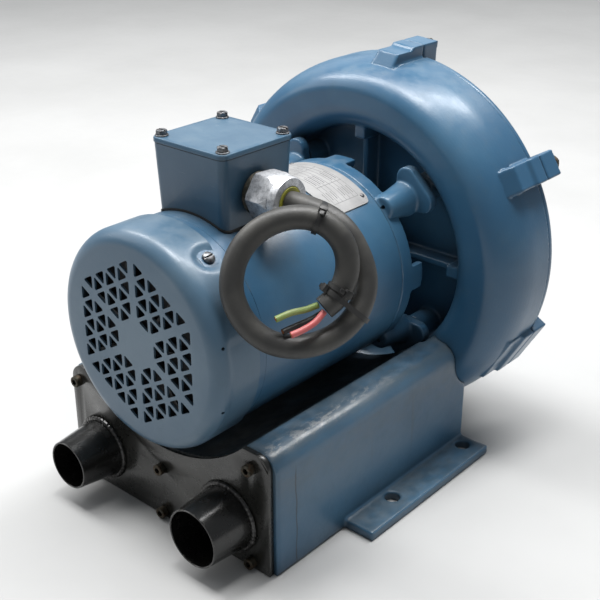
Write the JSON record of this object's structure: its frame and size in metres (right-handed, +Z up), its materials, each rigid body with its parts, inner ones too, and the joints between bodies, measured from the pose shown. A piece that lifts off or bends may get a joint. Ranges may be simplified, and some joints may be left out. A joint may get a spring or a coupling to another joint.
{
  "type": "side-channel blower with electric motor",
  "caption": "Side-channel ring blower with a flanged electric motor, on a two-duct silencer base with feet, air tubes, junction box and a coiled cable.",
  "frame": {"origin": "on the floor under the motor axis, level with the middle of the foot hole spacing", "axes": "+Z up, +Y along the motor axis from the fan end to the blower ring, +X towards the cable gland"},
  "size_m": [0.3434, 0.3943, 0.3584],
  "materials": {
    "blue_paint": "satin enamel on cast aluminium, worn and stained",
    "black_paint": "semi-gloss paint with scratches",
    "steel": "bright turned steel",
    "dark_steel": "blackened steel with rust",
    "zinc": "speckled zinc casting",
    "aluminium": "as cast and turned",
    "lamination": "stacked sheet edges",
    "copper": "varnished copper wire",
    "dark_plastic": "moulded, satin",
    "rubber": "moulded",
    "foam": "open-cell absorbing liner",
    "label": "printed foil, faded",
    "cable_jacket": "matt rubber jacket, dusty",
    "green_wire": "wire insulation",
    "red_wire": "wire insulation",
    "black_wire": "wire insulation"
  },
  "bodies": {
    "frame": {"blower_housing": "blue_paint", "blower_cover": "blue_paint", "cover_bolt_1": "dark_steel", "cover_bolt_2": "dark_steel", "cover_bolt_3": "dark_steel", "cover_bolt_4": "dark_steel", "cover_bolt_5": "dark_steel", "cover_bolt_6": "dark_steel", "drive_bearing_outer": "steel", "fan_bearing_outer": "steel", "shaft_seal": "rubber", "motor_shell": "blue_paint", "drive_end_bracket": "blue_paint", "fan_end_bracket": "blue_paint", "fan_cover": "blue_paint", "fan_cover_screw_1": "steel", "fan_cover_screw_2": "steel", "fan_cover_screw_3": "steel", "stator_core": "lamination", "windings": "copper", "nameplate": "label", "motor_bolt_1": "dark_steel", "motor_bolt_2": "dark_steel", "motor_bolt_3": "dark_steel", "motor_bolt_4": "dark_steel", "manifold_base": "blue_paint", "end_plate": "black_paint", "plate_screw_1": "dark_steel", "plate_screw_2": "dark_steel", "plate_screw_3": "dark_steel", "plate_screw_4": "dark_steel", "plate_screw_5": "dark_steel", "plate_screw_6": "dark_steel", "inlet_tube": "black_paint", "outlet_tube": "black_paint", "inlet_silencer": "foam", "outlet_silencer": "foam", "junction_box": "blue_paint", "box_gasket": "rubber", "junction_box_lid": "blue_paint", "lid_screw_1": "steel", "lid_screw_2": "steel", "lid_screw_3": "steel", "lid_screw_4": "steel", "terminal_block": "dark_plastic", "gland_body": "zinc", "gland_nut": "zinc", "power_cable": "cable_jacket", "wire_green": "green_wire", "wire_red": "red_wire", "wire_black": "black_wire"},
    "rotor": {"motor_shaft": "steel", "rotor_core": "lamination", "cooling_fan": "dark_plastic", "impeller": "aluminium", "impeller_nut": "steel", "drive_bearing_inner": "steel", "fan_bearing_inner": "steel"},
    "drive_cage": {"drive_bearing_cage": "steel"},
    "fan_cage": {"fan_bearing_cage": "steel"}
  },
  "joints": [
    {"name": "rotor_spin", "type": "hinge", "parent": "frame", "child": "rotor", "pos_m": [0, 0, 0.175], "axis": [0, 1, 0], "continuous": true},
    {"name": "drive_cage_spin", "type": "hinge", "parent": "frame", "child": "drive_cage", "pos_m": [0, 0.036, 0.175], "axis": [0, 1, 0], "continuous": true},
    {"name": "fan_cage_spin", "type": "hinge", "parent": "frame", "child": "fan_cage", "pos_m": [0, -0.173, 0.175], "axis": [0, 1, 0], "continuous": true}
  ],
  "couplings": [
    {"joint": "drive_cage_spin", "follows": "rotor_spin", "ratio": 0.4026},
    {"joint": "fan_cage_spin", "follows": "rotor_spin", "ratio": 0.4026}
  ]
}
